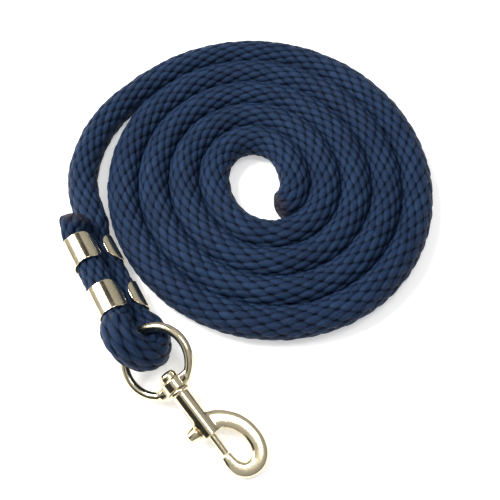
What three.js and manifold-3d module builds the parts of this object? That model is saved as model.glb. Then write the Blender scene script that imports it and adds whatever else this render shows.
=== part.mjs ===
// Lead rope. A solid-braid rope lies in a flat coil. Its free end runs down one side of the coil,
// passes through the swivel eye of a bolt snap, and is doubled back and held by two crimped bands.
// Millimetres, +Z up. The origin lies on the surface under the rope, below the middle of the snap
// and its bands.
import * as THREE from 'three';
import { mergeVertices } from 'three/addons/utils/BufferGeometryUtils.js';
import Module from 'manifold-3d';

// Driving dimensions
const ROPE_R = 8; // free rope
const PINCHED_R = 6.6; // a rope leg squeezed by a band
const GAP = 0.3; // between neighbours that touch
const WIRE_R = 2.1; // the ring's wire
const RING_R = 15.7; // the ring, to the middle of its wire
const BARREL_R = 4.1;
const BORE_R = 2.9;
const BOLT_R = 1.65;
const BOLT_TRAVEL = 10;

// Coil: a spiral with a slight oval, angles in degrees counter-clockwise from above
const COIL = new THREE.Vector2(48.3, 93.3);
const COIL_START = -70;
const COIL_END = 1572;
const COIL_BASE_R = 19.6;
const COIL_OVAL = 2.9;
const COIL_OVAL_HEADING = 111;
const COIL_STEP = 12;

// Doubled section: two legs of the rope, one above and beside the other
const EYE = new THREE.Vector3(-10.3, 2.1, 16.35); // middle of the bight, and of the wire in it
const DOUBLE_HEADING = -60.6;
const LEG_LEAN = 50; // slope of the line from the lower leg to the upper one
const LEG_SPACING = 13.5; // between the legs' middles in the bands
const BAND_WIDTH = 15.4;
const BAND_SHEET = 1;
const LOWER_BAND_AT = 20.5; // back from the eye to the middle of the band
const UPPER_BAND_AT = 50;
const BAND_LIP = 145; // angle round a leg at which the band's edge stops in the valley
const PINCH_STARTS = 11.5;
const PINCH_ENDS = 60;
const PINCH_FADES = 9;

// Snap, measured along its axis from the middle of the wire in the bight
const SNAP_HEADING = -50.8;
const SNAP_TILT = 9.7544; // downwards, until the hook's far bend rests
const EYE_ROLL = 27.8;
const COLLAR = [26.8, 32.0];
const COLLAR_R = 5.4;
const ARMS = [17.2, 4.8]; // width and thickness of the block between the ring and its collar
const STUD_HEAD = [22.5, 26.5];
const STUD_HEAD_R = 4.3;
const STUD_SLOT = 1.3; // width of the screwdriver slot
const STUD_PLUG = [32.4, 35.6];
const SHANK_R = 2.1;
const FLANGE = [32.4, 34];
const FLANGE_R = 5.3;
const BARREL_END = 57;
const BORE_END = 53.9;
const HOOK_NOSE = 67.5;
const PISTON = [50.4, 53.6];
const BOLT_END = 67.1;
const KNOB_AT = 52;
const KNOB_NECK_R = 1;
const KNOB_ROOT = -0.9; // inner end of its neck, in the bolt's cross hole
const KNOB_PROFILE = [ // across the barrel, radius
  [-9.2, 0], [-9.2, 2.1], [-8.7, 2.6], [-5.1, 3.5], [-4.5, 3.2], [-4.5, KNOB_NECK_R],
  [KNOB_ROOT, KNOB_NECK_R], [KNOB_ROOT, 0],
];
const SLOT_HALF = 1.4; // half the width of the knob's slot in the barrel
const HOOK_HALF_HEIGHT = 2.65; // it is flatter than it is wide

// The lead's middle line from the coil to the tail: x, y, z
const LEAD_ROUTE = [
  // beside the coil
  [-13.8, 161.1, 8], [-22.6, 152.8, 8], [-31.4, 143.1, 8], [-38.6, 132, 8], [-44, 118, 8],
  [-46.4, 106.6, 8], [-47, 95, 8], [-46.1, 87.8, 8], [-44.1, 80.3, 8], [-41, 72.4, 8],
  [-37.7, 63.9, 8],
  // lower leg, under the bands
  [-35.5, 55.9, 8], [-31, 47.8, 8], [-27.1, 40.8, 8], [-20.5, 29.1, 8], [-16.6, 22.1, 8],
  [-13.6, 16.9, 8], [-11.4, 13.5, 8], [-7.5, 9.4, 8.1], [-4.2, 5.5, 8.2],
  // bight round the wire
  [-2.3, 0.3, 9.3], [-2.6, -4.4, 12.2], [-5, -7.4, 16.4], [-8.6, -7.9, 20.6], [-12.4, -6, 24.2],
  // upper leg and cut tail
  [-15.6, -2.4, 25.7], [-17.2, 0.9, 24.9], [-18.1, 4, 22.3], [-19.5, 9, 19], [-21.2, 12.6, 18.4],
  [-24.2, 17.9, 18.3], [-28.1, 24.8, 18.3], [-34.7, 36.6, 18.3], [-38.6, 43.5, 18.3],
  [-43.2, 51.7, 18.3], [-44, 56.6, 20.3], [-43.4, 61.9, 23.4],
];
const LEAD_STEPS = 76;
const LEAD_SIDES = 10;

// The hook's middle line: along the snap's axis, and across it
const HOOK_ROUTE = [
  [51.4, 0], [52, 3.4], [54.6, 8.2], [58.4, 11.6], [63, 13.6], [67.5, 14.2], [71.6, 13.9],
  [75.6, 12.2], [78.1, 9.2], [78.6, 6.1], [77.8, 3], [75.4, 0.6], [72, -0.5], [HOOK_NOSE, -0.5],
];
const HOOK_RADII = [[0, 4.9], [0.08, 4.7], [0.2, 3.9], [0.4, 3.75], [0.7, 3.7], [0.85, 3.3], [1, 2.4]];
const HOOK_STEPS = 32;

// Spring
const SPRING = [35.9, 50.1];
const SPRING_R = 2.2;
const SPRING_WIRE_R = 0.3;
const SPRING_TURNS = 6;

const PAST = 1; // how far a cutting solid runs past a face
const THREAD_R = 0.05; // a tube is extruded this thin, then swollen to its radius

const wasm = await Module();
wasm.setup();
const radians = THREE.MathUtils.degToRad;
const ropeBlue = new THREE.MeshStandardMaterial({ color: 0x22355a, roughness: 0.85 });
const paleBrass = new THREE.MeshStandardMaterial({ color: 0xdccb9c, roughness: 0.2, metalness: 0.9 });
const springSteel = new THREE.MeshStandardMaterial({ color: 0x9a9a98, roughness: 0.35, metalness: 1 });

// Solids and meshes

function solid(geometry) {
  const bare = geometry.clone();
  bare.deleteAttribute('normal');
  bare.deleteAttribute('uv');
  const merged = mergeVertices(bare, 1e-4);
  return new wasm.Manifold(new wasm.Mesh({
    numProp: 3,
    vertProperties: merged.attributes.position.array,
    triVerts: new Uint32Array(merged.index.array),
  }));
}

function geometryOf(manifold) {
  const mesh = manifold.getMesh();
  const geometry = new THREE.BufferGeometry();
  geometry.setAttribute('position', new THREE.BufferAttribute(mesh.vertProperties, 3));
  geometry.setIndex(new THREE.BufferAttribute(mesh.triVerts, 1));
  geometry.computeVertexNormals();
  return geometry;
}

function named(name, geometry, material) {
  const mesh = new THREE.Mesh(geometry, material);
  mesh.name = name;
  return mesh;
}

// A round bar along +X
function rod(radius, [from, to], sides = 24) {
  const geometry = new THREE.CylinderGeometry(radius, radius, to - from, sides);
  return geometry.rotateZ(-Math.PI / 2).translate((from + to) / 2, 0, 0);
}

// A profile of [along, radius] points, turned about the X axis
function turned(profile, sides = 24) {
  const points = profile.map(([along, radius]) => new THREE.Vector2(radius, along));
  return new THREE.LatheGeometry(points, sides).rotateZ(-Math.PI / 2);
}

// Linear interpolation in a list of [place, value]
function between(table, place) {
  const next = Math.max(1, table.findIndex(([at]) => at >= place));
  const [[from, low], [to, high]] = [table[next - 1], table[next]];
  return THREE.MathUtils.mapLinear(place, from, to, low, high);
}

// A round tube along a curve, whose radius follows radiusAt(point, fraction of the length)
function tube(curve, sides, steps, radiusAt) {
  const section = new THREE.Shape(Array.from({ length: sides }, (_, i) => {
    const turn = 2 * Math.PI * i / sides;
    return new THREE.Vector2(THREAD_R * Math.cos(turn), THREAD_R * Math.sin(turn));
  }));
  const options = { steps, bevelEnabled: false, extrudePath: curve };
  const geometry = new THREE.ExtrudeGeometry(section, options);
  const stations = curve.getSpacedPoints(steps);
  const { position } = geometry.attributes;
  const vertex = new THREE.Vector3();
  for (let i = 0; i < position.count; i += 1) {
    vertex.fromBufferAttribute(position, i);
    const gaps = stations.map((station) => station.distanceToSquared(vertex));
    const nearest = gaps.indexOf(Math.min(...gaps));
    const centre = stations[nearest];
    vertex.sub(centre).multiplyScalar(radiusAt(centre, nearest / steps) / THREAD_R).add(centre);
    position.setXYZ(i, vertex.x, vertex.y, vertex.z);
  }
  return geometry;
}

// Rope

function coilRadius(degrees) {
  const oval = COIL_OVAL * Math.cos(2 * radians(degrees - COIL_OVAL_HEADING));
  return COIL_BASE_R + 2 * ROPE_R * degrees / 360 + oval;
}

// One turn of the coil's edge, offset sideways from the rope's middle line
function coilEdge(from, offset) {
  const points = [];
  for (let degrees = from; degrees <= from + 360; degrees += COIL_STEP) {
    const radius = coilRadius(degrees) + offset;
    const turn = radians(degrees);
    points.push(new THREE.Vector2(radius * Math.cos(turn), radius * Math.sin(turn)));
  }
  return points;
}

function ropeCoil() {
  const outline = new THREE.Shape(coilEdge(COIL_END - 360, ROPE_R - GAP));
  outline.holes.push(new THREE.Path(coilEdge(COIL_START, -ROPE_R)));
  const geometry = new THREE.ExtrudeGeometry(outline, { depth: 2 * ROPE_R, bevelEnabled: false });
  return geometry.translate(COIL.x, COIL.y, 0);
}

// Unit vectors of the doubled section: towards the eye, and from the lower leg to the upper one
const heading = radians(DOUBLE_HEADING);
const lean = radians(LEG_LEAN);
const toEye = new THREE.Vector3(Math.cos(heading), Math.sin(heading), 0);
const toUpperLeg = new THREE.Vector3(
  Math.cos(lean) * Math.sin(heading), -Math.cos(lean) * Math.cos(heading), Math.sin(lean));
const toValley = new THREE.Vector3().crossVectors(toUpperLeg, toEye);

function ropeRadius(point) {
  const back = toEye.dot(EYE.clone().sub(point));
  const outside = Math.max(PINCH_STARTS - back, back - PINCH_ENDS, 0);
  const swell = THREE.MathUtils.smoothstep(outside, 0, PINCH_FADES);
  return THREE.MathUtils.lerp(PINCHED_R, ROPE_R, swell);
}

function ropeLead() {
  const points = LEAD_ROUTE.map((place) => new THREE.Vector3(...place));
  return tube(new THREE.CatmullRomCurve3(points, false, 'centripetal'), LEAD_SIDES, LEAD_STEPS,
    ropeRadius);
}

// A sheet band round both legs, open along the valley between them, where both of its lips end
function crimpBand(back) {
  const inner = PINCHED_R + GAP;
  const outer = inner + BAND_SHEET;
  const half = LEG_SPACING / 2;
  const lip = radians(BAND_LIP);
  const under = -Math.PI / 2;
  const outline = new THREE.Shape();
  outline.absarc(half, 0, outer, lip, under, true);
  outline.absarc(-half, 0, outer, under, Math.PI - lip, true);
  outline.absarc(-half, 0, inner, Math.PI - lip, under, false);
  outline.absarc(half, 0, inner, under, lip, false);
  const options = { depth: BAND_WIDTH, bevelEnabled: false, curveSegments: 16 };
  const geometry = new THREE.ExtrudeGeometry(outline, options);
  const place = toEye.clone().multiplyScalar(BAND_WIDTH / 2 - back).add(EYE);
  place.z = ROPE_R + half * toUpperLeg.z;
  const away = toEye.clone().negate();
  const frame = new THREE.Matrix4().makeBasis(toUpperLeg, toValley, away).setPosition(place);
  return geometry.applyMatrix4(frame);
}

// Snap, built along +X from the middle of the wire in the bight

function swivelEye() {
  const ring = new THREE.TorusGeometry(RING_R, WIRE_R, 12, 48).translate(RING_R, 0, 0);
  const [from, to] = COLLAR;
  const arms = new THREE.BoxGeometry(to - from, ...ARMS).translate((from + to) / 2, 0, 0);
  const beyond = rod(2 * RING_R, [to, to + 2 * RING_R]);
  const bore = rod(SHANK_R + GAP, [from - PAST, to + PAST]);
  return geometryOf(solid(ring).add(solid(arms)).add(solid(rod(COLLAR_R, COLLAR)))
    .subtract(solid(beyond)).subtract(solid(bore)));
}

function swivelStud() {
  const [tip, seat] = STUD_HEAD;
  const [shoulder, end] = STUD_PLUG;
  const plug = BORE_R - GAP;
  const profile = [[tip, 0], [tip, 2], [tip + 0.7, 3.2], [tip + 1.8, 3.9],
    [tip + 3, STUD_HEAD_R], [seat, STUD_HEAD_R], [seat, SHANK_R], [shoulder, SHANK_R],
    [shoulder, plug], [end, plug], [end, 0]];
  const slot = new THREE.BoxGeometry(STUD_SLOT, 4 * STUD_HEAD_R, STUD_SLOT)
    .translate(tip + STUD_SLOT / 2, 0, 0);
  return geometryOf(solid(turned(profile)).subtract(solid(slot)));
}

function snapBody() {
  const route = HOOK_ROUTE.map(([along, across]) => new THREE.Vector3(along, across, 0));
  const curve = new THREE.CatmullRomCurve3(route, false, 'centripetal');
  const round = tube(curve, 16, HOOK_STEPS, (_, part) => between(HOOK_RADII, part));
  const slab = new THREE.BoxGeometry(4 * HOOK_NOSE, 4 * HOOK_NOSE, 2 * HOOK_HALF_HEIGHT);
  const hook = solid(round).intersect(solid(slab));
  const barrel = rod(BARREL_R, [FLANGE[0], BARREL_END]);
  const bore = rod(BORE_R, [FLANGE[0] - PAST, BORE_END]);
  const boltHole = rod(BOLT_R + GAP, [BORE_END - PAST, BARREL_END + PAST]);
  const throat = rod(BARREL_R + 3, [BARREL_END, HOOK_NOSE - 0.2]);
  const slotEnds = [KNOB_AT - BOLT_TRAVEL - SLOT_HALF, KNOB_AT + SLOT_HALF];
  const slot = new THREE.BoxGeometry(slotEnds[1] - slotEnds[0], BARREL_R, 2 * SLOT_HALF)
    .translate((slotEnds[0] + slotEnds[1]) / 2, PAST - BORE_R - BARREL_R / 2, 0);
  return geometryOf(hook.subtract(solid(throat)).add(solid(barrel))
    .add(solid(rod(FLANGE_R, FLANGE))).subtract(solid(bore)).subtract(solid(boltHole))
    .subtract(solid(slot)));
}

function bolt() {
  const [back, shoulder] = PISTON;
  const piston = BORE_R - GAP;
  const profile = [[back, 0], [back, piston], [shoulder, piston], [shoulder, BOLT_R],
    [BOLT_END - 0.4, BOLT_R], [BOLT_END, BOLT_R - 0.4], [BOLT_END, 0]];
  const hole = KNOB_NECK_R + GAP;
  const knobHole = new THREE.CylinderGeometry(hole, hole, 2 * BORE_R, 16)
    .translate(KNOB_AT, KNOB_ROOT + GAP - BORE_R, 0);
  return geometryOf(solid(turned(profile)).subtract(solid(knobHole)));
}

function thumbKnob() {
  const points = KNOB_PROFILE.map(([across, radius]) => new THREE.Vector2(radius, across));
  return new THREE.LatheGeometry(points, 20).translate(KNOB_AT, 0, 0);
}

function boltSpring() {
  const [from, to] = SPRING;
  const count = 10 * SPRING_TURNS;
  const points = Array.from({ length: count + 1 }, (_, i) => {
    const turn = 2 * Math.PI * SPRING_TURNS * i / count;
    const along = THREE.MathUtils.lerp(from + SPRING_WIRE_R, to - SPRING_WIRE_R, i / count);
    return new THREE.Vector3(along, SPRING_R * Math.cos(turn), SPRING_R * Math.sin(turn));
  });
  const curve = new THREE.CatmullRomCurve3(points, false, 'centripetal');
  return tube(curve, 6, count, () => SPRING_WIRE_R);
}

// Assembly

const eye = new THREE.Group();
eye.rotation.x = radians(EYE_ROLL);
eye.add(named('swivel_eye', swivelEye(), paleBrass));

const snap = new THREE.Group();
snap.position.copy(EYE);
snap.rotation.set(0, radians(SNAP_TILT), radians(SNAP_HEADING), 'ZYX');
snap.add(
  eye,
  named('swivel_stud', swivelStud(), paleBrass),
  named('snap_body', snapBody(), paleBrass),
  named('bolt', bolt(), paleBrass),
  named('thumb_knob', thumbKnob(), paleBrass),
  named('bolt_spring', boltSpring(), springSteel),
);

const leadRope = new THREE.Group();
leadRope.add(
  named('rope_coil', ropeCoil(), ropeBlue),
  named('rope_lead', ropeLead(), ropeBlue),
  named('crimp_band_upper', crimpBand(UPPER_BAND_AT), paleBrass),
  named('crimp_band_lower', crimpBand(LOWER_BAND_AT), paleBrass),
  snap,
);

export default leadRope;
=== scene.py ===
"""The lead rope's looks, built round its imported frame.

A solid-braid rope, made as one tube with its stitches in relief, lies in a flat coil, runs through
the swivel eye of a pale gold bolt snap, and is doubled back in two crimped bands. Metres, +Z up.
"""
import itertools
import math

import bmesh
import bpy
import numpy as np
from mathutils import Matrix, Vector


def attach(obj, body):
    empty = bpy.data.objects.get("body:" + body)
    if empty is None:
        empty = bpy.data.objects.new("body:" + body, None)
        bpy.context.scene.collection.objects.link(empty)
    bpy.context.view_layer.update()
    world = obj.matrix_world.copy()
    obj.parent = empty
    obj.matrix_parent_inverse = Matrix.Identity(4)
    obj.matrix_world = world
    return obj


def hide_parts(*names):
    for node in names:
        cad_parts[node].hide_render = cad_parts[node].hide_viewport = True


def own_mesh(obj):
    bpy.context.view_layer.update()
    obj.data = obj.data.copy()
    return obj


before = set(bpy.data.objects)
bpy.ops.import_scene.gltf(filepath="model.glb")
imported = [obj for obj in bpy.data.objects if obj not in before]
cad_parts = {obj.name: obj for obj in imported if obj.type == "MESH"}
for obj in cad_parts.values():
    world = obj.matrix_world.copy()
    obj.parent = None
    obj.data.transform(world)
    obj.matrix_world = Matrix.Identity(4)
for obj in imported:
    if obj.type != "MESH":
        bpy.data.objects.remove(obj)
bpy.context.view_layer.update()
scene = bpy.context.scene
MM = 0.001

# --- Camera ------------------------------------------------------------------------------------

CAMERA_AT = Vector((0.0419, -0.1166, 0.3140))
LOOKS_AT = Vector((0.0419, 0.0553, 0))


def add_camera():
    camera = bpy.data.objects.new("camera", bpy.data.cameras.new("camera"))
    camera.data.lens = 50
    camera.data.sensor_width = 36
    camera.location = CAMERA_AT
    camera.rotation_euler = (LOOKS_AT - CAMERA_AT).to_track_quat("-Z", "Y").to_euler()
    scene.collection.objects.link(camera)
    scene.camera = camera


add_camera()

# --- Small tools -------------------------------------------------------------------------------


def add_mesh(name, vertices, faces, smooth=True):
    """A new object from points in metres in the row's frame."""
    mesh = bpy.data.meshes.new(name)
    mesh.from_pydata([tuple(v) for v in vertices], [], [tuple(f) for f in faces])
    mesh.polygons.foreach_set("use_smooth", [smooth] * len(mesh.polygons))
    mesh.update()
    piece = bpy.data.objects.new(name, mesh)
    scene.collection.objects.link(piece)
    return piece


def smoothstep(x, low, high):
    t = np.clip((x - low) / (high - low), 0, 1)
    return t * t * (3 - 2 * t)


def unit(v):
    return v / np.linalg.norm(v, axis=-1, keepdims=True)


def centripetal(points, per_span=24):
    """Points along the centripetal Catmull-Rom curve through the given ones."""
    p = np.array(points, float)
    p = np.vstack([2 * p[0] - p[1], p, 2 * p[-1] - p[-2]])
    gap = np.sqrt(np.linalg.norm(np.diff(p, axis=0), axis=1))[:, None]
    before, here, after = gap[:-2], gap[1:-1], gap[2:]
    a, b, c, d = p[:-3], p[1:-2], p[2:-1], p[3:]
    leave = ((b - a) / before - (c - a) / (before + here) + (c - b) / here) * here
    arrive = ((c - b) / here - (d - b) / (here + after) + (d - c) / after) * here
    t = np.linspace(0, 1, per_span, endpoint=False)[None, :, None]
    b, c, leave, arrive = (x[:, None] for x in (b, c, leave, arrive))
    curve = (
        b
        + leave * t
        + (3 * (c - b) - 2 * leave - arrive) * t**2
        + (2 * (b - c) + leave + arrive) * t**3
    )
    return np.vstack([curve.reshape(-1, p.shape[1]), p[-2]])


def evenly(line, count):
    """count points a constant arc length apart, and the length."""
    run = np.concatenate([[0], np.cumsum(np.linalg.norm(np.diff(line, axis=0), axis=1))])
    places = np.linspace(0, run[-1], count)
    return np.stack([np.interp(places, run, axis) for axis in line.T], -1), run[-1]


# --- Rope: its route, as in the CAD ------------------------------------------------------------

ROPE_R = 8 * MM
PINCHED_R = 6.6 * MM
COIL_SPREAD = 0.05  # how much wider than tall the rope lies where turns press together
COIL_SPREAD_FADES = 84 * MM, 94 * MM  # from the coil's middle
PITCH = 10.9 * MM  # along the rope, from one stitch of a column to the next
COLUMNS = 20  # columns of stitches round the rope
COLUMN_STEP = 0.4  # of a pitch, from a column's stitches to its neighbour's
COLUMN_VERTICES = 3
RING_STEP = 1.13 * MM
RELIEF = 1.45 * MM

COIL = np.array((48.3, 93.3)) * MM
COIL_START, COIL_END = -70, 1572  # degrees, counter-clockwise from above
COIL_BASE_R = 19.6 * MM
COIL_OVAL, COIL_OVAL_HEADING = 2.9 * MM, 111
COIL_STEP = 9

EYE = np.array((-10.3, 2.1, 16.35)) * MM  # middle of the bight, and of the wire in it
DOUBLE_HEADING = math.radians(-60.6)
LEG_LEAN = math.radians(50)
LEG_SPACING = 13.5 * MM
LOWER_BAND_AT, UPPER_BAND_AT = 20.5 * MM, 50 * MM
BAND_WIDTH = 15.4 * MM
PINCH_STARTS, PINCH_ENDS, PINCH_FADES = 11.5 * MM, 60 * MM, 9 * MM
DOUBLED = 210 * MM  # of rope, from the cut tail round the eye and back past both bands

LEAD_ROUTE = [
    # beside the coil
    (-0.0138, 0.1611, 0.008), (-0.0226, 0.1528, 0.008), (-0.0314, 0.1431, 0.008),
    (-0.0386, 0.132, 0.008), (-0.044, 0.118, 0.008), (-0.0464, 0.1066, 0.008),
    (-0.047, 0.095, 0.008), (-0.0461, 0.0878, 0.008), (-0.0441, 0.0803, 0.008),
    (-0.041, 0.0724, 0.008), (-0.0377, 0.0639, 0.008),
    # lower leg, under the bands
    (-0.0355, 0.0559, 0.008), (-0.031, 0.0478, 0.008), (-0.0271, 0.0408, 0.008),
    (-0.0205, 0.0291, 0.008), (-0.0166, 0.0221, 0.008), (-0.0136, 0.0169, 0.008),
    (-0.0114, 0.0135, 0.008), (-0.0075, 0.0094, 0.0081), (-0.0042, 0.0055, 0.0082),
    # bight round the wire
    (-0.0023, 0.0003, 0.0093), (-0.0026, -0.0044, 0.0122), (-0.005, -0.0074, 0.0164),
    (-0.0086, -0.0079, 0.0206), (-0.0124, -0.006, 0.0242),
    # upper leg and cut tail
    (-0.0156, -0.0024, 0.0257), (-0.0172, 0.0009, 0.0249), (-0.0181, 0.004, 0.0223),
    (-0.0195, 0.009, 0.019), (-0.0212, 0.0126, 0.0184), (-0.0242, 0.0179, 0.0183),
    (-0.0281, 0.0248, 0.0183), (-0.0347, 0.0366, 0.0183), (-0.0386, 0.0435, 0.0183),
    (-0.0432, 0.0517, 0.0183), (-0.044, 0.0566, 0.0203), (-0.0434, 0.0619, 0.0234),
]

to_eye = np.array((math.cos(DOUBLE_HEADING), math.sin(DOUBLE_HEADING), 0))
to_upper_leg = np.array((
    math.cos(LEG_LEAN) * math.sin(DOUBLE_HEADING),
    -math.cos(LEG_LEAN) * math.cos(DOUBLE_HEADING),
    math.sin(LEG_LEAN),
))
to_valley = np.cross(to_upper_leg, to_eye)


def coil_points():
    """The spiral's middle line, from its outer end to its inner one."""
    points = []
    for degrees in range(COIL_END, COIL_START - 1, -COIL_STEP):
        oval = COIL_OVAL * math.cos(2 * math.radians(degrees - COIL_OVAL_HEADING))
        radius = COIL_BASE_R + 2 * ROPE_R * degrees / 360 + oval
        turn = math.radians(degrees)
        x, y = COIL + radius * np.array((math.cos(turn), math.sin(turn)))
        points.append((x, y, ROPE_R))
    return points


def rope_line():
    """Ring centres from the cut tail, through the eye and round the coil to its inner end."""
    line = centripetal(LEAD_ROUTE[::-1] + coil_points()[1:])
    length = evenly(line, 2)[1]
    rings = round(length / RING_STEP) + 1
    return evenly(line, rings)


def rope_radius(line):
    back = (EYE - line) @ to_eye
    outside = np.maximum(np.maximum(PINCH_STARTS - back, back - PINCH_ENDS), 0)
    near = RING_STEP * np.arange(len(line)) < DOUBLED
    outside = np.where(near, outside, PINCH_FADES)
    # between the bands the legs swell a little
    middle = (LOWER_BAND_AT + UPPER_BAND_AT) / 2
    half = (UPPER_BAND_AT - LOWER_BAND_AT - BAND_WIDTH) / 2
    swell = near * np.clip(1 - ((back - middle) / half) ** 2, 0, 1)
    radius = PINCHED_R + (ROPE_R - PINCHED_R) * smoothstep(outside, 0, PINCH_FADES)
    return radius + 0.3 * MM * swell


# --- Rope: its stitches ------------------------------------------------------------------------
# Measured in columns across and pitches along. Each stitch is a leaf, pointed at both ends and a
# little higher towards the one that lies over the next stitch.

LEAF_HALF_WIDTH = 1.05
LEAF_HALF_LENGTH = 0.5
LEAF_LIFT = 0.5
LEAF_SHEAR = 0.10
LEAF_ENDS = 0.55  # how bluntly its height falls to its points


def leaf(across, along):
    t = np.clip((along + LEAF_SHEAR * across) / LEAF_HALF_LENGTH, -1, 1)
    half = np.maximum(LEAF_HALF_WIDTH * (1 - t * t), 0.02)
    side = np.minimum(np.abs(across) / half, 1)
    return np.sqrt(1 - side**2) * (1 - t * t) ** LEAF_ENDS * (1 + LEAF_LIFT * along)


def stitches(u, v, wander):
    """Relief from 0 in a crease to about 1, with each stitch a little higher or lower."""
    best = np.zeros_like(u)
    for shift in (0, 1):
        column = np.floor(u) + shift
        place = v - COLUMN_STEP * column
        row = np.round(place)
        around = np.floor(column / COLUMNS)
        key = column - COLUMNS * around, row + COLUMN_STEP * COLUMNS * around
        height = leaf(u - column, place - row)
        height = height * (1 + wander[key[0].astype(int), key[1].astype(int)])
        best = np.maximum(best, height)
    return best


def carried_frames(line):
    """Two unit vectors across the line at each point, carried along it without twisting."""
    along = unit(np.gradient(line, axis=0))
    side = np.zeros_like(line)
    side[0] = unit(np.cross(along[0], (0, 0, 1)))
    for i in range(1, len(line)):
        carried = side[i - 1] - along[i] * (side[i - 1] @ along[i])
        side[i] = carried / np.linalg.norm(carried)
    return along, side, np.cross(along, side)


CAP_RINGS = 7
SEALED = 4.5 * MM  # how far a heat-sealed end shows along the rope
END_ROUND = 3.2 * MM


def rope():
    rng = np.random.default_rng(7)
    line, length = rope_line()
    along, side, other = carried_frames(line)
    ring = COLUMNS * COLUMN_VERTICES
    place = np.linspace(0, length, len(line))
    rows = place / PITCH
    columns = np.arange(ring) / COLUMN_VERTICES
    wander = rng.normal(0, 0.06, (COLUMNS, int(rows[-1]) + 12))
    u, v = np.meshgrid(columns, rows + 1)
    to_end = np.minimum(place, length - place)
    sealed = 1 - smoothstep(to_end, 0.5 * MM, SEALED)
    # the braid turns slowly along the rope, now faster and now slower
    turn = 0.45 * np.sin(place / 0.09 + 0.6) + place / 0.125
    angle = u * 2 * math.pi / COLUMNS + turn[:, None]
    relief = RELIEF * (1 - 0.3 * sealed[:, None])
    radius = rope_radius(line)[:, None] - relief * (1 - stitches(u, v, wander))
    rim = np.sqrt(1 - (1 - np.clip(to_end / END_ROUND, 0, 1)) ** 2)
    radius = radius * (0.62 + 0.38 * rim[:, None])
    offset = np.cos(angle)[..., None] * side[:, None] + np.sin(angle)[..., None] * other[:, None]
    from_coil = np.linalg.norm(line[:, :2] - COIL, axis=1)
    spread = 1 + COIL_SPREAD * (1 - smoothstep(from_coil, *COIL_SPREAD_FADES))
    offset[..., :2] *= spread[:, None, None]
    points = line[:, None] + radius[..., None] * offset
    points[..., 2] = np.maximum(points[..., 2], 0)  # pressed flat where it rests
    faces = []
    for i in range(len(line) - 1):
        for k in range(ring):
            n = (k + 1) % ring
            faces.append((i * ring + k, i * ring + n, (i + 1) * ring + n, (i + 1) * ring + k))
    vertices = points.reshape(-1, 3)
    seal_values = np.repeat(sealed, ring)
    # closed ends: rings shrink to the middle over a slightly domed, rough face
    for end, outward in ((0, -1), (len(line) - 1, 1)):
        base = end * ring
        centre = line[end]
        rim_offset = points[end] - centre
        last = base + np.arange(ring)
        for step in range(1, CAP_RINGS):
            share = 1 - step / CAP_RINGS
            bulge = 1.1 * MM * (1 - share**2) + rng.normal(0, 0.06 * MM, ring)
            fresh = centre + rim_offset * share + outward * along[end] * bulge[:, None]
            first = len(vertices)
            vertices = np.vstack([vertices, fresh])
            seal_values = np.concatenate([seal_values, np.ones(ring)])
            new = first + np.arange(ring)
            for k in range(ring):
                n = (k + 1) % ring
                quad = (last[k], new[k], new[n], last[n])
                faces.append(quad if outward < 0 else quad[::-1])
            last = new
        vertices = np.vstack([vertices, centre + outward * along[end] * 1.1 * MM])
        seal_values = np.concatenate([seal_values, [1.0]])
        tip = len(vertices) - 1
        for k in range(ring):
            triangle = (last[k], tip, last[(k + 1) % ring])
            faces.append(triangle if outward < 0 else triangle[::-1])
    # faces point outwards whichever way the ring was numbered
    piece = add_mesh("rope", vertices, faces)
    mesh = piece.data
    flip = mesh.polygons[0].normal.dot(Vector(vertices[0] - line[0])) < 0
    if flip:
        mesh.flip_normals()
    add_braid_map(mesh, len(line), ring, rows + 1)
    attribute = mesh.attributes.new("seal", "FLOAT", "POINT")
    attribute.data.foreach_set("value", seal_values.astype(np.float32))
    mesh.materials.append(rope_material())
    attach(piece, "rope")
    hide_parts("rope_coil", "rope_lead")
    return piece


def add_braid_map(mesh, rings, ring, rows):
    """A UV map that holds columns across and pitches along, for the material."""
    where = np.zeros(len(mesh.loops), np.int64)
    mesh.loops.foreach_get("vertex_index", where)
    wall = rings * ring
    k, i = where % ring, where // ring
    u = k / COLUMN_VERTICES
    v = np.where(where < wall, rows[np.minimum(i, rings - 1)], 0)
    starts = np.zeros(len(mesh.polygons), np.int64)
    totals = np.zeros(len(mesh.polygons), np.int64)
    mesh.polygons.foreach_get("loop_start", starts)
    mesh.polygons.foreach_get("loop_total", totals)
    owner = np.repeat(np.arange(len(starts)), totals)
    highest = np.zeros(len(starts))
    np.maximum.at(highest, owner, u)
    wraps = (highest[owner] - u) > COLUMNS / 2
    u = np.where(wraps, u + COLUMNS, u)
    layer = mesh.uv_layers.new(name="braid")
    layer.data.foreach_set("uv", np.stack([u, v], -1).astype(np.float32).ravel())


# --- Node tools --------------------------------------------------------------------------------


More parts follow.
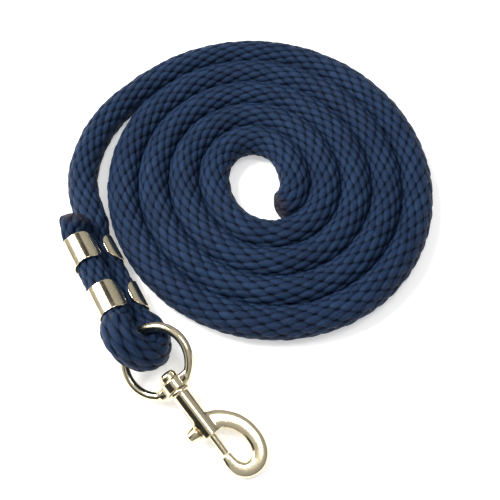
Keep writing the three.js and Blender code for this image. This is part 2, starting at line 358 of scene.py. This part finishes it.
class Nodes:
    """A material's nodes, with arithmetic on sockets and numbers."""

    def __init__(self, name):
        self.material = bpy.data.materials.new(name)
        self.material.use_nodes = True
        self.tree = self.material.node_tree
        self.tree.nodes.clear()
        self.shader = self.add("ShaderNodeBsdfPrincipled")
        output = self.add("ShaderNodeOutputMaterial")
        self.link(self.shader.outputs[0], output.inputs[0])

    def add(self, kind, **settings):
        node = self.tree.nodes.new(kind)
        for key, value in settings.items():
            setattr(node, key, value)
        return node

    def link(self, source, target):
        self.tree.links.new(source, target)

    def put(self, socket, value):
        if isinstance(value, bpy.types.NodeSocket):
            self.link(value, socket)
        else:
            socket.default_value = value

    def math(self, operation, *values):
        node = self.add("ShaderNodeMath", operation=operation)
        for socket, value in zip(node.inputs, values):
            self.put(socket, value)
        return node.outputs[0]

    def step(self, value, low, high):
        node = self.add("ShaderNodeMapRange", interpolation_type="SMOOTHSTEP")
        for name, given in (("Value", value), ("From Min", low), ("From Max", high)):
            self.put(node.inputs[name], given)
        return node.outputs[0]

    def mix(self, share, a, b):
        node = self.add("ShaderNodeMix", data_type="RGBA")
        self.put(node.inputs[0], share)
        self.put(node.inputs[6], a)
        self.put(node.inputs[7], b)
        return node.outputs[2]

    def choose(self, switch, a, b):
        node = self.add("ShaderNodeMix", data_type="FLOAT")
        for socket, value in zip(node.inputs[:4], (switch, None, a, b)):
            if value is not None:
                self.put(socket, value)
        return node.outputs[0]

    def vector(self, x, y, z=0.0):
        node = self.add("ShaderNodeCombineXYZ")
        for socket, value in zip(node.inputs, (x, y, z)):
            self.put(socket, value)
        return node.outputs[0]

    def noise(self, vector, scale, detail=2.0):
        node = self.add("ShaderNodeTexNoise")
        self.put(node.inputs["Vector"], vector)
        node.inputs["Scale"].default_value = scale
        node.inputs["Detail"].default_value = detail
        return node.outputs[0]

    def bump(self, height, distance, normal=None):
        node = self.add("ShaderNodeBump")
        node.inputs["Distance"].default_value = distance
        self.put(node.inputs["Height"], height)
        if normal is not None:
            self.put(node.inputs["Normal"], normal)
        return node.outputs[0]

    def place(self):
        """The point in the row's frame, in metres: each object sits at the origin."""
        return self.add("ShaderNodeTexCoord").outputs["Object"]


# --- Materials ---------------------------------------------------------------------------------


def rope_material():
    n = Nodes("navy_braid")
    braid = n.add("ShaderNodeUVMap", uv_map="braid")
    parts = n.add("ShaderNodeSeparateXYZ")
    n.link(braid.outputs[0], parts.inputs[0])
    u, v = parts.outputs[0], parts.outputs[1]
    relief, lean, shade = 0.0, 0.0, 0.0
    for shift in (0, 1):
        column = n.math("ADD", n.math("FLOOR", u), shift)
        place = n.math("MULTIPLY_ADD", column, -COLUMN_STEP, v)
        row = n.math("ROUND", place)
        across = n.math("SUBTRACT", u, column)
        along = n.math("SUBTRACT", place, row)
        sheared = n.math("MULTIPLY_ADD", across, LEAF_SHEAR, along)
        t = n.math("MINIMUM", n.math("ABSOLUTE", n.math("DIVIDE", sheared, LEAF_HALF_LENGTH)), 1)
        taper = n.math("SUBTRACT", 1, n.math("MULTIPLY", t, t))
        half = n.math("MAXIMUM", n.math("MULTIPLY", taper, LEAF_HALF_WIDTH), 0.02)
        side = n.math("MINIMUM", n.math("DIVIDE", n.math("ABSOLUTE", across), half), 1)
        dome = n.math("SQRT", n.math("SUBTRACT", 1, n.math("MULTIPLY", side, side)))
        dome = n.math("MULTIPLY", dome, n.math("POWER", taper, LEAF_ENDS))
        height = n.math("MULTIPLY", dome, n.math("MULTIPLY_ADD", along, LEAF_LIFT, 1))
        higher = n.math("GREATER_THAN", height, relief)
        around = n.math("GREATER_THAN", column, COLUMNS - 0.5)
        cell = n.vector(
            n.math("MULTIPLY_ADD", around, -COLUMNS, column),
            n.math("MULTIPLY_ADD", around, COLUMN_STEP * COLUMNS, row),
        )
        random = n.add("ShaderNodeTexWhiteNoise", noise_dimensions="3D")
        n.link(cell, random.inputs["Vector"])
        lean = n.choose(higher, lean, across)
        shade = n.choose(higher, shade, random.outputs[0])
        relief = n.math("MAXIMUM", height, relief)
    seal = n.add("ShaderNodeAttribute", attribute_name="seal").outputs["Fac"]
    # filaments run along each stitch
    strand = n.vector(n.math("MULTIPLY", lean, 11), n.math("MULTIPLY", v, 2.6), shade)
    fibres_and_sheen = n.noise(strand, 1.7, 4)
    cloud = n.noise(n.place(), 55, 2)
    lit = n.step(relief, 0.34, 0.92)
    navy = n.mix(shade, (0.0056, 0.0142, 0.0385, 1), (0.0128, 0.0285, 0.0690, 1))
    # lighter filament streaks: partly the fibres' own tone, partly painted sheen on them
    navy = n.mix(n.step(fibres_and_sheen, 0.35, 0.75), navy, (0.0225, 0.0465, 0.1010, 1))
    navy = n.mix(n.math("MULTIPLY", n.step(cloud, 0.4, 0.7), 0.35), navy, (0.010, 0.017, 0.042, 1))
    # painted shade: where lit is low, in the creases between stitches, the colour is darkened to near
    # black
    navy = n.mix(lit, (0.0005, 0.0010, 0.0032, 1), navy)
    melted = n.noise(n.place(), 420, 3)
    burnt = n.mix(melted, (0.007, 0.008, 0.013, 1), (0.040, 0.029, 0.030, 1))
    n.link(n.mix(n.math("MULTIPLY", seal, 0.65), navy, burnt), n.shader.inputs["Base Color"])
    n.link(n.step(fibres_and_sheen, -0.6, 1.9), n.shader.inputs["Roughness"])
    n.shader.inputs["Specular IOR Level"].default_value = 0.07
    coarse = n.bump(relief, 1.2 * MM)
    fine = n.bump(fibres_and_sheen, 0.30 * MM, coarse)
    n.link(fine, n.shader.inputs["Normal"])
    return n.material


def metal(name, color, roughness, wear=0.35):
    n = Nodes(name)
    place = n.place()
    n.shader.inputs["Metallic"].default_value = 1
    cloud = n.noise(place, 160, 3)
    fine = n.noise(place, 1400, 2)
    darker = tuple(c * 0.9 for c in color) + (1,)
    n.link(n.mix(n.step(cloud, 0.3, 0.75), darker, (*color, 1)), n.shader.inputs["Base Color"])
    rough = n.math("MULTIPLY_ADD", n.step(cloud, 0.35, 0.7), roughness * wear, roughness)
    rough = n.math("MULTIPLY_ADD", n.step(fine, 0.5, 0.8), roughness * 0.4, rough)
    n.link(rough, n.shader.inputs["Roughness"])
    swell = n.noise(place, 70, 1)
    n.link(n.bump(fine, 0.004 * MM, n.bump(swell, 0.05 * MM)), n.shader.inputs["Normal"])
    return n.material


PALE_GOLD = (0.82, 0.72, 0.50)
gold = metal("pale_gold", PALE_GOLD, 0.13)
steel = metal("spring_steel", (0.55, 0.55, 0.56), 0.3)

# --- Bands -------------------------------------------------------------------------------------

BAND_SHEET = 1 * MM
BAND_R = PINCHED_R + 0.3 * MM + BAND_SHEET / 2  # to the middle of the sheet
BAND_LIP = math.radians(126)
LIP_CORNER_ALONG, LIP_CORNER_ACROSS = 6.5 * MM, 6.2 * MM
LIP_TUCK = 0.35 * MM
RIM = 0.40 * MM
BAND_ALONG, BAND_ACROSS = 190, 36


def band_outline(step=0.55 * MM):
    """The sheet's middle line round both legs, and its outward normals, lip to lip."""
    half = LEG_SPACING / 2
    places = []
    sweep = BAND_LIP + math.pi / 2
    count = round(sweep * BAND_R / step)
    for i in range(count + 1):
        angle = BAND_LIP - sweep * i / count
        places.append(((half, 0), (math.cos(angle), math.sin(angle))))
    flat = round(LEG_SPACING / step)
    for i in range(1, flat):
        places.append(((half - LEG_SPACING * i / flat, 0), (0, -1)))
    for i in range(count + 1):
        angle = -math.pi / 2 - sweep * i / count
        places.append(((-half, 0), (math.cos(angle), math.sin(angle))))
    centres, normals = (np.array(x, float) for x in zip(*places))
    return centres + BAND_R * normals, normals


def band(name, back):
    """A sheet of rounded edges: its outer and inner faces meet along its outline."""
    middles, normals = band_outline()
    run = np.concatenate([[0], np.cumsum(np.linalg.norm(np.diff(middles, axis=0), axis=1))])
    half = BAND_WIDTH / 2
    width = half * np.sin(np.linspace(-math.pi / 2, math.pi / 2, BAND_ACROSS + 1))
    corner = np.maximum(np.abs(width) - half + LIP_CORNER_ACROSS, 0) / LIP_CORNER_ACROSS
    inset = LIP_CORNER_ALONG * (1 - np.sqrt(1 - corner**2))
    # steps along the sheet are finest at its lips
    t = np.linspace(0, 1, BAND_ALONG + 1)
    t = t - 0.92 * np.sin(2 * math.pi * t) / (2 * math.pi)
    s = inset[None] + (run[-1] - 2 * inset[None]) * t[:, None]
    to_lip = np.minimum(s - inset, run[-1] - inset - s)
    to_edge = np.minimum(to_lip, (half - np.abs(width))[None])
    thickness = BAND_SHEET * np.sqrt(1 - (1 - np.clip(to_edge / RIM, 0, 1)) ** 2)
    x, y = (np.interp(s, run, middles[:, k]) for k in (0, 1))
    nx, ny = (np.interp(s, run, normals[:, k]) for k in (0, 1))
    place = EYE - to_eye * back
    place[2] = ROPE_R + LEG_SPACING / 2 * to_upper_leg[2]
    tuck = LIP_TUCK * np.clip(1 - to_lip / (3 * MM), 0, 1) ** 2
    middle = place + (x - nx * tuck)[..., None] * to_upper_leg + (y - ny * tuck)[..., None] * to_valley
    middle = middle - width[None, :, None] * to_eye
    normal = nx[..., None] * to_upper_leg + ny[..., None] * to_valley
    outer, inner = (middle + side * normal * thickness[..., None] / 2 for side in (1, -1))
    rows, columns = BAND_ALONG + 1, BAND_ACROSS + 1
    names = np.arange(rows * columns).reshape(rows, columns)
    inner_names = names.copy()
    inner_names[1:-1, 1:-1] = rows * columns + np.arange((rows - 2) * (columns - 2)).reshape(rows - 2, -1)
    vertices = np.vstack([outer.reshape(-1, 3), inner[1:-1, 1:-1].reshape(-1, 3)])
    faces = []
    for grid in (names, inner_names[:, ::-1]):
        for i, k in itertools.product(range(rows - 1), range(columns - 1)):
            faces.append((grid[i, k], grid[i + 1, k], grid[i + 1, k + 1], grid[i, k + 1]))
    piece = add_mesh(name, vertices, faces)
    outward(piece)
    piece.data.materials.append(gold)
    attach(piece, "rope")
    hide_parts(name.replace("_sheet", ""))
    return piece


def outward(piece):
    """Turns all faces outwards."""
    made = bmesh.new()
    made.from_mesh(piece.data)
    bmesh.ops.recalc_face_normals(made, faces=made.faces)
    made.to_mesh(piece.data)
    made.free()


# --- Shapes given by a distance field ----------------------------------------------------------
# Fields are negative inside, in millimetres along the snap's axis, across it and up.


def joined(a, b, fillet=0.0):
    if fillet == 0:
        return np.minimum(a, b)
    h = np.clip(fillet - np.abs(a - b), 0, None) / fillet
    return np.minimum(a, b) - h * h * fillet / 4


def cut(a, b, fillet=0.12):
    return -joined(-a, b, fillet)


def rod(p, radius, span, edge):
    """A round bar along the axis with rounded edges."""
    middle, half = (span[0] + span[1]) / 2, (span[1] - span[0]) / 2
    x = np.abs(p[:, 0] - middle) - half + edge
    r = np.hypot(p[:, 1], p[:, 2]) - radius + edge
    return np.minimum(np.maximum(x, r), 0) + np.hypot(np.maximum(x, 0), np.maximum(r, 0)) - edge


def block(p, low, high, edge):
    low, high = np.array(low, float), np.array(high, float)
    q = np.abs(p - (low + high) / 2) - (high - low) / 2 + edge
    return np.minimum(q.max(1), 0) + np.linalg.norm(np.maximum(q, 0), axis=1) - edge


def bar(p, line, half_widths, half_height, squareness=3.2):
    """A bar along a line in the plane z = 0, rounded and flatter than it is wide."""
    best = np.full(len(p), np.inf)
    for a, b, wa, wb in zip(line[:-1], line[1:], half_widths[:-1], half_widths[1:]):
        along = (b - a)[:2]
        t = np.clip((p[:, :2] - a[:2]) @ along / (along @ along), 0, 1)
        away = np.linalg.norm(p[:, :2] - a[:2] - t[:, None] * along, axis=1)
        width = wa + (wb - wa) * t
        height = np.minimum(width, half_height)
        ratio = (away / width) ** squareness + (np.abs(p[:, 2]) / height) ** squareness
        best = np.minimum(best, (ratio ** (1 / squareness) - 1) * height)
    return best


def surface(field, low, high, step, rounds=5):
    """Quads on the field's surface: one point in each mixed cell, moved onto the surface."""
    axes = [np.arange(a, b + step, step) for a, b in zip(low, high)]
    shape = tuple(len(a) for a in axes)
    grid = np.stack(np.meshgrid(*axes, indexing="ij"), -1).reshape(-1, 3)
    inside = (field(grid) < 0).reshape(shape)
    cells = tuple(n - 1 for n in shape)
    full = sum(
        inside[i : i + cells[0], j : j + cells[1], k : k + cells[2]].astype(int)
        for i, j, k in itertools.product((0, 1), repeat=3)
    )
    mixed = (full > 0) & (full < 8)
    index = np.full(cells, -1)
    index[mixed] = np.arange(mixed.sum())
    points = (np.argwhere(mixed) + 0.5) * step + np.array([a[0] for a in axes])
    quads = []
    for axis in range(3):
        a, b = (axis + 1) % 3, (axis + 2) % 3
        here = np.moveaxis(inside, (axis, a, b), (0, 1, 2))
        names = np.moveaxis(index, (axis, a, b), (0, 1, 2))
        change = here[:-1, 1:-1, 1:-1].astype(int) - here[1:, 1:-1, 1:-1].astype(int)
        for sign in (1, -1):
            x, y, z = np.argwhere(change == sign).T
            quad = np.stack([
                names[x, y, z], names[x, y + 1, z], names[x, y + 1, z + 1], names[x, y, z + 1],
            ], -1)
            quads.append(quad if sign > 0 else quad[:, ::-1])
    quads = np.vstack(quads)
    for _ in range(rounds):
        points = onto(field, points)
        total, count = np.zeros_like(points), np.zeros(len(points))
        for a, b in ((0, 1), (1, 2), (2, 3), (3, 0)):
            np.add.at(total, quads[:, a], points[quads[:, b]])
            np.add.at(count, quads[:, a], 1)
            np.add.at(total, quads[:, b], points[quads[:, a]])
            np.add.at(count, quads[:, b], 1)
        points = 0.4 * points + 0.6 * total / count[:, None]
    return onto(field, onto(field, points)), quads


def onto(field, points, probe=0.02):
    """Points moved along the field's slope to its surface."""
    value = field(points)
    slope = np.stack([
        (field(points + probe * axis) - field(points - probe * axis)) / (2 * probe)
        for axis in np.eye(3)
    ], -1)
    steep = np.maximum((slope**2).sum(1), 0.2)
    return points - np.clip(value, -0.4, 0.4)[:, None] * slope / steep[:, None]


# --- Snap --------------------------------------------------------------------------------------
# Its frame: along its axis from the middle of the wire in the bight, across, and up.

SNAP_HEADING = math.radians(-50.8)
SNAP_TILT = math.radians(9.7544)
EYE_ROLL = math.radians(27.8)
GAP = 0.3
WIRE_R, RING_R = 2.1, 15.7
COLLAR, COLLAR_R = (26.8, 32.0), 5.4
ARM_WIDTH, ARM_HEIGHT = 17.2, 4.8
STUD_HEAD, STUD_HEAD_R = (22.5, 26.5), 4.3
STUD_DOME = 2.2
STUD_PLUG = (32.4, 35.6)
STUD_SLOT = 1.3
SHANK_R = 2.1
FLANGE, FLANGE_R = (32.4, 34), 5.3
BARREL_R, BORE_R, BOLT_R = 4.1, 2.9, 1.65
BARREL_END, BORE_END = 57, 53.9
HOOK_NOSE = 67.5
PISTON = (50.4, 53.6)
BOLT_END = 67.1
BOLT_TRAVEL = 10
KNOB_AT = 52
SLOT_HALF = 1.4
HOOK_FAR, HOOK_HALF_HEIGHT = 78.6, 2.65
HOOK_ROUTE = [
    (51.4, 0), (52, 3.4), (54.6, 8.2), (58.4, 11.6), (63, 13.6), (67.5, 14.2), (71.6, 13.9),
    (75.6, 12.2), (78.1, 9.2), (78.6, 6.1), (77.8, 3), (75.4, 0.6), (72, -0.5), (HOOK_NOSE, -0.5),
]
HOOK_HALF_WIDTHS = [(0, 4.9), (0.08, 4.7), (0.2, 3.9), (0.4, 3.75), (0.7, 3.7), (0.85, 3.3), (1, 2.4)]
SPRING, SPRING_R, SPRING_WIRE_R, SPRING_TURNS = (35.9, 50.1), 2.2, 0.3, 6

snap_axes = Matrix.Rotation(SNAP_HEADING, 4, "Z") @ Matrix.Rotation(SNAP_TILT, 4, "Y")
snap_frame = Matrix.Translation(Vector(EYE)) @ snap_axes @ Matrix.Scale(MM, 4)
eye_frame = snap_frame @ Matrix.Rotation(EYE_ROLL, 4, "X")


def snap_piece(name, vertices, faces, place, body, node, material=gold):
    where = np.array(place)
    vertices = np.asarray(vertices, float) @ where[:3, :3].T + where[:3, 3]
    piece = add_mesh(name, vertices, faces)
    outward(piece)
    piece.data.materials.append(material)
    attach(piece, body)
    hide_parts(node)
    return piece


def eye_field(p):
    radial = np.hypot(p[:, 0] - RING_R, p[:, 1]) - RING_R
    ring = np.hypot(radial, p[:, 2]) - WIRE_R
    ring = np.maximum(ring, p[:, 0] - COLLAR[1])
    half = ARM_WIDTH / 2
    arms = block(p, (COLLAR[0], -half, -ARM_HEIGHT / 2), (COLLAR[1], half, ARM_HEIGHT / 2), 1.5)
    collar = rod(p, COLLAR_R, COLLAR, 0.45)
    whole = joined(joined(ring, arms, 0.9), collar, 0.35)
    bore = np.hypot(p[:, 1], p[:, 2]) - SHANK_R - GAP
    return cut(whole, bore, 0.2)


def swivel_eye():
    reach = 2 * RING_R + WIRE_R
    low, high = (-3, -RING_R - 3, -6.2), (reach, RING_R + 3, 6.2)
    vertices, faces = surface(eye_field, low, high, 0.3)
    return snap_piece("swivel_eye_cast", vertices, faces, eye_frame, "eye", "swivel_eye")


def stud_field(p):
    tip, seat = STUD_HEAD
    head = np.maximum(rod(p, STUD_HEAD_R, (tip, seat + STUD_DOME), STUD_DOME), p[:, 0] - seat)
    slot = np.maximum(np.abs(p[:, 2]) - STUD_SLOT / 2, p[:, 0] - tip - STUD_SLOT)
    head = cut(head, slot, 0.15)
    shank = rod(p, SHANK_R, (seat - 0.5, STUD_PLUG[0] + 0.5), 0.1)
    plug = rod(p, BORE_R - GAP, STUD_PLUG, 0.2)
    return joined(joined(head, shank, 0.2), plug, 0.2)


def swivel_stud():
    low, high = (STUD_HEAD[0] - 1, -5, -5), (STUD_PLUG[1] + 1, 5, 5)
    vertices, faces = surface(stud_field, low, high, 0.22)
    return snap_piece("swivel_stud_turned", vertices, faces, snap_frame, "hook", "swivel_stud")


hook_line, _ = evenly(centripetal([(x, y, 0) for x, y in HOOK_ROUTE]), 49)
hook_widths = np.interp(np.linspace(0, 1, 49), *zip(*HOOK_HALF_WIDTHS))
NOSE_FROM = 40  # of hook_line's points, the last ones make the nose


def body_field(p):
    hook = bar(p, hook_line[: NOSE_FROM + 1], hook_widths[: NOSE_FROM + 1], HOOK_HALF_HEIGHT)
    nose = bar(p, hook_line[NOSE_FROM:], hook_widths[NOSE_FROM:], HOOK_HALF_HEIGHT)
    nose = cut(nose, p[:, 0] - HOOK_NOSE + 0.1, 0.25)
    barrel = rod(p, BARREL_R, (FLANGE[0], BARREL_END), 0.4)
    flange = rod(p, FLANGE_R, FLANGE, 0.35)
    # nothing of the hook's root fills the throat in front of the barrel
    ahead = np.maximum(BARREL_END - p[:, 0], np.hypot(p[:, 1], p[:, 2]) - BARREL_R - 2.2)
    root = cut(hook, np.maximum(ahead, p[:, 0] - 63), 0.4)
    whole = joined(joined(joined(root, barrel, 0.7), flange, 0.3), nose)
    bore = np.maximum(np.hypot(p[:, 1], p[:, 2]) - BORE_R, p[:, 0] - BORE_END)
    hole = np.hypot(p[:, 1], p[:, 2]) - BOLT_R - GAP
    hole = np.maximum(hole, np.abs(p[:, 0] - BARREL_END) - 5)
    low = (KNOB_AT - BOLT_TRAVEL - SLOT_HALF, -8, -SLOT_HALF)
    slot = block(p, low, (KNOB_AT + SLOT_HALF, -1.5, SLOT_HALF), 0.3)
    return cut(cut(cut(whole, bore, 0.1), hole, 0.3), slot, 0.25)


def snap_body():
    low, high = (FLANGE[0] - 1, -7, -6.5), (HOOK_FAR + 4, 19, 6.5)
    vertices, faces = surface(body_field, low, high, 0.33)
    return snap_piece("snap_body_cast", vertices, faces, snap_frame, "hook", "snap_body")


def lathed(profile, steps=64, axis=0):
    """A closed turned shape from [along, radius] points that start and end on the axis."""
    ring, vertices, faces = steps, [], []
    inner = profile[1:-1]
    for along, radius in inner:
        for k in range(ring):
            angle = 2 * math.pi * k / ring
            vertices.append((along, radius * math.cos(angle), radius * math.sin(angle)))
    for i, k in itertools.product(range(len(inner) - 1), range(ring)):
        n = (k + 1) % ring
        faces.append((i * ring + k, (i + 1) * ring + k, (i + 1) * ring + n, i * ring + n))
    for end, (along, _) in ((0, profile[0]), (len(inner) - 1, profile[-1])):
        vertices.append((along, 0, 0))
        for k in range(ring):
            faces.append((end * ring + k, end * ring + (k + 1) % ring, len(vertices) - 1))
    vertices = np.array(vertices, float)
    if axis == 1:
        vertices = vertices[:, [1, 0, 2]]
    return vertices, faces


def rounded(profile, reach=0.25, steps=4):
    """The profile with each inner corner replaced by a short curve."""
    points = [np.array(p, float) for p in profile]
    made = [points[0]]
    for a, b, c in zip(points[:-2], points[1:-1], points[2:]):
        start = b + (a - b) * min(reach / np.linalg.norm(a - b), 0.45)
        end = b + (c - b) * min(reach / np.linalg.norm(c - b), 0.45)
        for i in range(steps + 1):
            t = i / steps
            made.append((1 - t) ** 2 * start + 2 * t * (1 - t) * b + t * t * end)
    return made + [points[-1]]


def bolt():
    back, shoulder = PISTON
    piston = BORE_R - GAP
    profile = [
        (back, 0), (back, piston), (shoulder, piston), (shoulder, BOLT_R),
        (BOLT_END - 0.3, BOLT_R), (BOLT_END, BOLT_R - 0.3), (BOLT_END, 0),
    ]
    vertices, faces = lathed(rounded(profile, 0.15))
    return snap_piece("bolt_rod", vertices, faces, snap_frame, "bolt", "bolt")


def thumb_knob():
    profile = [
        (-9.2, 0), (-9.2, 2.1), (-8.7, 2.6), (-5.1, 3.5), (-4.5, 3.2), (-4.5, 1), (-2.7, 1), (-2.7, 0),
    ]
    vertices, faces = lathed(rounded(profile, 0.35), axis=1)
    vertices = vertices + np.array((KNOB_AT, 0, 0))
    return snap_piece("thumb_knob_turned", vertices, faces, snap_frame, "bolt", "thumb_knob")


def swept(line, radius, sides=12):
    """A round wire along a line, closed at both ends."""
    _, side, other = carried_frames(line)
    angle = 2 * math.pi * np.arange(sides) / sides
    ring = np.cos(angle)[:, None] * side[:, None] + np.sin(angle)[:, None] * other[:, None]
    vertices = (line[:, None] + radius * ring).reshape(-1, 3)
    faces = [tuple(range(sides)), tuple(range(len(vertices) - sides, len(vertices)))]
    for i, k in itertools.product(range(len(line) - 1), range(sides)):
        n = (k + 1) % sides
        faces.append((i * sides + k, (i + 1) * sides + k, (i + 1) * sides + n, i * sides + n))
    return vertices, faces


def bolt_spring():
    t = np.linspace(0, 1, 36 * SPRING_TURNS)
    turn = 2 * math.pi * SPRING_TURNS * t
    along = SPRING[0] + SPRING_WIRE_R + (SPRING[1] - SPRING[0] - 2 * SPRING_WIRE_R) * t
    line = np.stack([along, SPRING_R * np.cos(turn), SPRING_R * np.sin(turn)], -1)
    vertices, faces = swept(line, SPRING_WIRE_R)
    piece = snap_piece(
        "bolt_spring_wire", vertices, faces, snap_frame, "hook", "bolt_spring", steel
    )
    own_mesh(piece)
    return piece


# --- Studio ------------------------------------------------------------------------------------


def plain(name, color, roughness, glow=0.0):
    n = Nodes(name)
    n.shader.inputs["Emission Color"].default_value = (1, 1, 1, 1)
    n.shader.inputs["Emission Strength"].default_value = glow
    n.shader.inputs["Base Color"].default_value = (*color, 1)
    n.shader.inputs["Roughness"].default_value = roughness
    return n.material


def add_floor():
    size = 3
    corners = [(-size, -size, 0), (size, -size, 0), (size, size, 0), (-size, size, 0)]
    floor = add_mesh("floor", corners, [(0, 1, 2, 3)], smooth=False)
    floor.data.materials.append(plain("floor_paper", (0.88, 0.88, 0.88), 0.9, glow=0.4))


def add_light(name, at, size, watts, color=(1, 1, 1)):
    light = bpy.data.lights.new(name, "AREA")
    light.shape = "RECTANGLE"
    light.size, light.size_y = size
    light.energy = watts
    light.color = color
    lamp = bpy.data.objects.new(name, light)
    lamp.location = at
    aim = Vector((0.03, 0.06, 0.01)) - Vector(at)
    lamp.rotation_euler = aim.to_track_quat("-Z", "Y").to_euler()
    scene.collection.objects.link(lamp)


def add_wall(name, radius, height, material, sides=96):
    """A round wall that stands on the floor and neither lights nor shades the piece."""
    turns = np.arange(sides) * 2 * math.pi / sides
    foot = np.stack([radius * np.cos(turns), radius * np.sin(turns), np.zeros(sides)], -1)
    faces = [(k, (k + 1) % sides, sides + (k + 1) % sides, sides + k) for k in range(sides)]
    wall = add_mesh(name, np.vstack([foot, foot + (0, 0, height)]), faces)
    wall.data.materials.append(material)
    wall.visible_diffuse = False
    wall.visible_shadow = False
    return wall


def add_card(name, corners):
    """A dark card that only shows as a streak in polished metal."""
    card = add_mesh(name, corners, [(0, 1, 2, 3)], smooth=False)
    card.data.materials.append(plain(name + "_black", (0.01, 0.01, 0.01), 1.0))
    card.visible_camera = False
    card.visible_diffuse = False
    card.visible_shadow = False


BRIGHT_SIDE = (-0.6, 0.3, 0.75)
ROOM_DARKEST, ROOM_BRIGHTEST = 0.20, 0.60


def add_room():
    scene.view_settings.view_transform = "Standard"
    world = bpy.data.worlds.new("studio")
    scene.world = world
    world.use_nodes = True
    tree = world.node_tree
    background = tree.nodes["Background"]
    # the room is brightest at the upper left
    place = tree.nodes.new("ShaderNodeTexCoord").outputs["Generated"]
    towards = tree.nodes.new("ShaderNodeVectorMath")
    towards.operation = "DOT_PRODUCT"
    towards.inputs[1].default_value = Vector(BRIGHT_SIDE).normalized()
    tree.links.new(place, towards.inputs[0])
    bright = tree.nodes.new("ShaderNodeMapRange")
    tree.links.new(towards.outputs["Value"], bright.inputs["Value"])
    ends = {"From Min": -0.6, "From Max": 0.9, "To Min": ROOM_DARKEST, "To Max": ROOM_BRIGHTEST}
    for name, value in ends.items():
        bright.inputs[name].default_value = value
    tree.links.new(bright.outputs[0], background.inputs[1])
    background.inputs[0].default_value = (1, 1, 1, 1)


def add_studio():
    add_room()
    add_floor()
    backdrop = add_wall("backdrop", 2.9, 2.5, plain("backdrop_paper", (0.88, 0.88, 0.88), 0.9, glow=0.9))
    backdrop.visible_glossy = False
    skirting = add_wall("skirting", 2.0, 0.14, plain("skirting_black", (0.01, 0.01, 0.01), 1.0))
    skirting.visible_camera = False
    add_light("key", (-0.45, 0.25, 0.75), (0.3, 0.3), 8.5)
    add_light("side", (-0.52, 0.05, 0.46), (0.3, 0.2), 2.2)
    add_light("top", (0.12, 0.02, 0.50), (0.09, 0.20), 0.6)
    # beside the barrel, and behind the bands
    add_card("card_front", [
        (-0.176, -0.114, 0.034), (-0.066, -0.063, 0.202), (-0.008, -0.133, 0.184), (-0.115, -0.187, 0.018),
    ])
    add_card("card_back", [
        (-0.066, 0.098, 0.250), (0.033, 0.158, 0.218), (-0.018, 0.233, 0.202), (-0.114, 0.180, 0.235),
    ])


# --- Assembly ----------------------------------------------------------------------------------

rope()
band("crimp_band_upper_sheet", UPPER_BAND_AT)
band("crimp_band_lower_sheet", LOWER_BAND_AT)
swivel_eye()
swivel_stud()
snap_body()
bolt()
thumb_knob()
bolt_spring()
add_studio()
